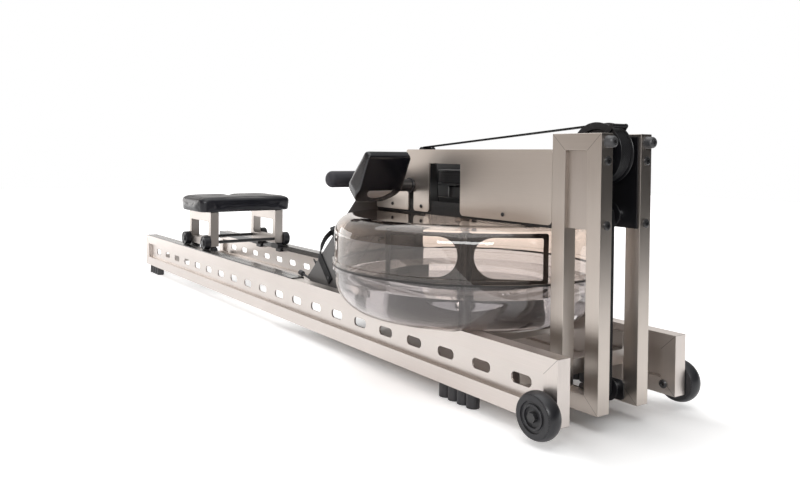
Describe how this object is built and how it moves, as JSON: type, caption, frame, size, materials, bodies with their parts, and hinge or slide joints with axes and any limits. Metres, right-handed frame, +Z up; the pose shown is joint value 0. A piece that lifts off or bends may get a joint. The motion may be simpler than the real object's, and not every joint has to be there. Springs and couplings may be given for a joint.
{
  "type": "water rowing machine",
  "caption": "Low rowing machine with slotted metal rails, sliding padded seat, strap foot stretcher, clear water tank with paddle, pulley tower, straight handle and tilting monitor.",
  "frame": {"origin": "centre of the footprint box, on the floor", "axes": "+X along the rails towards the pulley tower, +Y to the left of a rower facing the tower, +Z up"},
  "size_m": [2.142, 0.59, 0.535],
  "materials": {
    "rail_steel": "bright brushed stainless",
    "tower_steel": "warm grey brushed stainless",
    "deck_steel": "warm grey brushed stainless",
    "seat_steel": "satin stainless",
    "bare_steel": "turned steel",
    "paddle_black": "black moulded plastic sheet",
    "black_steel": "black oxide",
    "track_plastic": "black extruded plastic",
    "foot_rubber": "black rubber",
    "grey_rubber": "grey moulded rubber",
    "black_plastic": "black moulded nylon",
    "wheel_rubber": "black tyre compound",
    "board_metal": "dark grey powder coat",
    "smoke_tank": "smoke clear moulding",
    "gasket_rubber": "dark seal",
    "water": "clear water",
    "webbing": "woven black webbing",
    "cord_sheath": "braided black sheath",
    "grip_foam": "black foam",
    "seat_vinyl": "black grained vinyl",
    "monitor_shell": "black moulded shell",
    "monitor_glass": "dark display window",
    "label_plate": "plain satin plate",
    "key_plastic": "pale grey keys"
  },
  "bodies": {
    "frame": {"rail_frame_r": "rail_steel", "rail_frame_l": "rail_steel", "rail_webs": "rail_steel", "cross_members": "rail_steel", "tower_frame_r": "tower_steel", "tower_frame_l": "tower_steel", "tower_panels": "tower_steel", "deck_plate_r": "deck_steel", "deck_plate_l": "deck_steel", "pulley_axles": "bare_steel", "socket_bolts": "black_steel", "deck_screws": "black_steel", "wheel_bolts": "black_steel", "track_strips": "track_plastic", "rail_feet": "foot_rubber", "seat_stops": "foot_rubber", "tower_bumpers": "grey_rubber", "tower_liners": "black_plastic", "strap_guides": "black_plastic", "deck_core": "black_plastic", "strap_buckles": "black_plastic", "monitor_arm": "black_plastic", "footboard": "board_metal", "tank_upper": "smoke_tank", "tank_lower": "smoke_tank", "tank_gasket": "gasket_rubber", "tank_water": "water", "foot_strap_r": "webbing", "foot_strap_l": "webbing", "recoil_strap": "webbing", "drive_strap": "webbing", "bungee_cord": "cord_sheath"},
    "handle": {"handle_bar": "bare_steel", "handle_grips": "grip_foam", "handle_yoke": "black_plastic", "handle_strap": "webbing"},
    "top_pulley": {"top_pulley": "black_plastic"},
    "mid_pulley": {"mid_pulley": "black_plastic"},
    "bottom_pulley": {"bottom_pulley": "black_plastic"},
    "drum": {"strap_drum": "black_plastic"},
    "paddle": {"paddle": "paddle_black", "paddle_shaft": "bare_steel"},
    "seat": {"seat_pad": "seat_vinyl", "seat_frames": "seat_steel", "seat_axles": "bare_steel", "seat_shoes": "black_plastic"},
    "roller_front_r": {"roller_front_r": "wheel_rubber"},
    "roller_front_l": {"roller_front_l": "wheel_rubber"},
    "roller_rear_r": {"roller_rear_r": "wheel_rubber"},
    "roller_rear_l": {"roller_rear_l": "wheel_rubber"},
    "wheel_r": {"wheel_r_side": "wheel_rubber"},
    "wheel_l": {"wheel_l_side": "wheel_rubber"},
    "monitor": {"monitor_housing": "monitor_shell", "monitor_face": "monitor_glass", "monitor_label": "label_plate"},
    "button_a": {"button_a": "key_plastic"},
    "button_b": {"button_b": "key_plastic"},
    "button_c": {"button_c": "key_plastic"},
    "heel_rest_r": {"heel_rest_r": "black_plastic"},
    "heel_rest_l": {"heel_rest_l": "black_plastic"}
  },
  "joints": [
    {"name": "handle_pull", "type": "slide", "parent": "frame", "child": "handle", "axis": [-1, 0, 0], "range_m": [0, 1.2], "deforming": ["handle_strap"]},
    {"name": "top_pulley_spin", "type": "hinge", "parent": "frame", "child": "top_pulley", "pos_m": [0.996, 0, 0.4795], "axis": [0, -1, 0], "continuous": true},
    {"name": "mid_pulley_spin", "type": "hinge", "parent": "frame", "child": "mid_pulley", "pos_m": [1.004, 0, 0.37], "axis": [0, -1, 0], "continuous": true},
    {"name": "bottom_pulley_spin", "type": "hinge", "parent": "frame", "child": "bottom_pulley", "pos_m": [1.004, 0, 0.055], "axis": [0, -1, 0], "continuous": true},
    {"name": "drum_spin", "type": "hinge", "parent": "frame", "child": "drum", "pos_m": [0.636, 0, 0.426], "axis": [0, 0, 1], "continuous": true},
    {"name": "paddle_spin", "type": "hinge", "parent": "frame", "child": "paddle", "pos_m": [0.636, 0, 0.23], "axis": [0, 0, 1], "continuous": true},
    {"name": "seat_slide", "type": "slide", "parent": "frame", "child": "seat", "axis": [1, 0, 0], "range_m": [-0.343, 0.585]},
    {"name": "roller_front_r_spin", "type": "hinge", "parent": "seat", "child": "roller_front_r", "pos_m": [-0.502, -0.15, 0.1693], "axis": [0, 1, 0], "continuous": true},
    {"name": "roller_front_l_spin", "type": "hinge", "parent": "seat", "child": "roller_front_l", "pos_m": [-0.502, 0.15, 0.1693], "axis": [0, 1, 0], "continuous": true},
    {"name": "roller_rear_r_spin", "type": "hinge", "parent": "seat", "child": "roller_rear_r", "pos_m": [-0.68, -0.15, 0.1693], "axis": [0, 1, 0], "continuous": true},
    {"name": "roller_rear_l_spin", "type": "hinge", "parent": "seat", "child": "roller_rear_l", "pos_m": [-0.68, 0.15, 0.1693], "axis": [0, 1, 0], "continuous": true},
    {"name": "wheel_r_spin", "type": "hinge", "parent": "frame", "child": "wheel_r", "pos_m": [1.03, -0.19, 0.0481], "axis": [0, 1, 0], "continuous": true},
    {"name": "wheel_l_spin", "type": "hinge", "parent": "frame", "child": "wheel_l", "pos_m": [1.03, 0.19, 0.0481], "axis": [0, 1, 0], "continuous": true},
    {"name": "monitor_tilt", "type": "hinge", "parent": "frame", "child": "monitor", "pos_m": [0.5243, -0.165, 0.4047], "axis": [0, 1, 0], "range_deg": [-20, 20]},
    {"name": "button_a_press", "type": "slide", "parent": "monitor", "child": "button_a", "axis": [0.7254, 0, -0.6884], "range_m": [0, 0.0012], "stiffness_N_per_m": 400},
    {"name": "button_b_press", "type": "slide", "parent": "monitor", "child": "button_b", "axis": [0.7254, 0, -0.6884], "range_m": [0, 0.0012], "stiffness_N_per_m": 400},
    {"name": "button_c_press", "type": "slide", "parent": "monitor", "child": "button_c", "axis": [0.7254, 0, -0.6884], "range_m": [0, 0.0012], "stiffness_N_per_m": 400},
    {"name": "heel_rest_r_slide", "type": "slide", "parent": "frame", "child": "heel_rest_r", "axis": [0.7266, 0, 0.6871], "range_m": [0, 0.042]},
    {"name": "heel_rest_l_slide", "type": "slide", "parent": "frame", "child": "heel_rest_l", "axis": [0.7266, 0, 0.6871], "range_m": [0, 0.042]}
  ],
  "couplings": [
    {"joint": "top_pulley_spin", "follows": "handle_pull", "rad_per_m": 19.455},
    {"joint": "drum_spin", "follows": "handle_pull", "rad_per_m": 16.835},
    {"joint": "mid_pulley_spin", "follows": "handle_pull", "rad_per_m": 50.383},
    {"joint": "bottom_pulley_spin", "follows": "handle_pull", "rad_per_m": 50.383},
    {"joint": "roller_front_r_spin", "follows": "seat_slide", "rad_per_m": 43.478},
    {"joint": "roller_front_l_spin", "follows": "seat_slide", "rad_per_m": 43.478},
    {"joint": "roller_rear_r_spin", "follows": "seat_slide", "rad_per_m": 43.478},
    {"joint": "roller_rear_l_spin", "follows": "seat_slide", "rad_per_m": 43.478}
  ]
}
